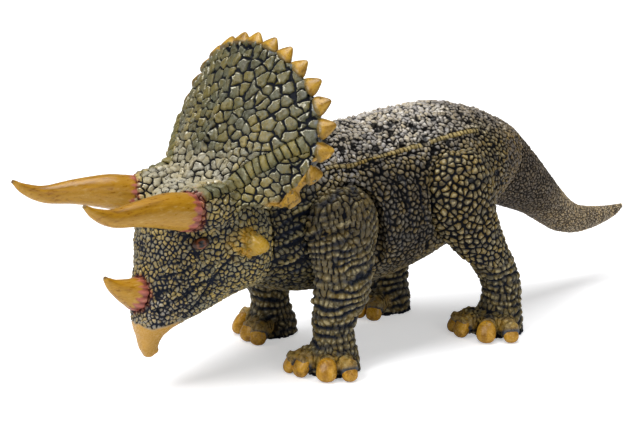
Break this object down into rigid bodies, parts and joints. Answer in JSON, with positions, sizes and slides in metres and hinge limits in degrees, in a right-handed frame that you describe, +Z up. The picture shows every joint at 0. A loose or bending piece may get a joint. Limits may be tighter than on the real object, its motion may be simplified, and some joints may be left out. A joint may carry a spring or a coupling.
{
  "type": "toy dinosaur figure",
  "caption": "Walking horned dinosaur figure with a scaly skin, a spiked neck frill, and a head, legs and tail that swivel on hidden snap pegs.",
  "frame": {"origin": "on the floor under the middle of the figure's bounding box", "axes": "+Z up; the figure faces -Y with its length along Y, and +X is its own left side"},
  "size_m": [0.0989, 0.3238, 0.1394],
  "materials": {
    "vinyl_skin": "satin soft vinyl with a dark wash in its carved scales",
    "vinyl_horn": "glossy ochre paint on soft vinyl",
    "joint_plastic": "plain moulded"
  },
  "bodies": {
    "torso": {"torso": "vinyl_skin"},
    "head": {"head": "vinyl_skin", "brow_horn_left": "vinyl_horn", "brow_horn_right": "vinyl_horn", "nose_horn": "vinyl_horn", "neck_peg": "joint_plastic", "neck_washer": "joint_plastic"},
    "tail": {"tail": "vinyl_skin", "tail_peg": "joint_plastic", "tail_washer": "joint_plastic"},
    "front_leg_left": {"front_leg_left": "vinyl_skin", "front_leg_left_peg": "joint_plastic", "front_leg_left_washer": "joint_plastic"},
    "front_leg_right": {"front_leg_right": "vinyl_skin", "front_leg_right_peg": "joint_plastic", "front_leg_right_washer": "joint_plastic"},
    "hind_leg_left": {"hind_leg_left": "vinyl_skin", "hind_leg_left_peg": "joint_plastic", "hind_leg_left_washer": "joint_plastic"},
    "hind_leg_right": {"hind_leg_right": "vinyl_skin", "hind_leg_right_peg": "joint_plastic", "hind_leg_right_washer": "joint_plastic"}
  },
  "joints": [
    {"name": "neck_swivel", "type": "hinge", "parent": "torso", "child": "head", "pos_m": [0, -0.07249, 0.058], "axis": [0, -1, 0], "range_deg": [-12, 12]},
    {"name": "tail_swivel", "type": "hinge", "parent": "torso", "child": "tail", "pos_m": [0, 0.06751, 0.068], "axis": [0, 0.848, -0.5299], "range_deg": [-35, 35]},
    {"name": "front_left_swing", "type": "hinge", "parent": "torso", "child": "front_leg_left", "pos_m": [0.02499, -0.04253, 0.06], "axis": [1, 0, 0], "range_deg": [-12, 12]},
    {"name": "front_right_swing", "type": "hinge", "parent": "torso", "child": "front_leg_right", "pos_m": [-0.02499, -0.04253, 0.06], "axis": [1, 0, 0], "range_deg": [-12, 12]},
    {"name": "hind_left_swing", "type": "hinge", "parent": "torso", "child": "hind_leg_left", "pos_m": [0.027, 0.02103, 0.066], "axis": [1, 0, 0], "range_deg": [-12, 12]},
    {"name": "hind_right_swing", "type": "hinge", "parent": "torso", "child": "hind_leg_right", "pos_m": [-0.027, 0.02103, 0.066], "axis": [1, 0, 0], "range_deg": [-12, 12]}
  ]
}
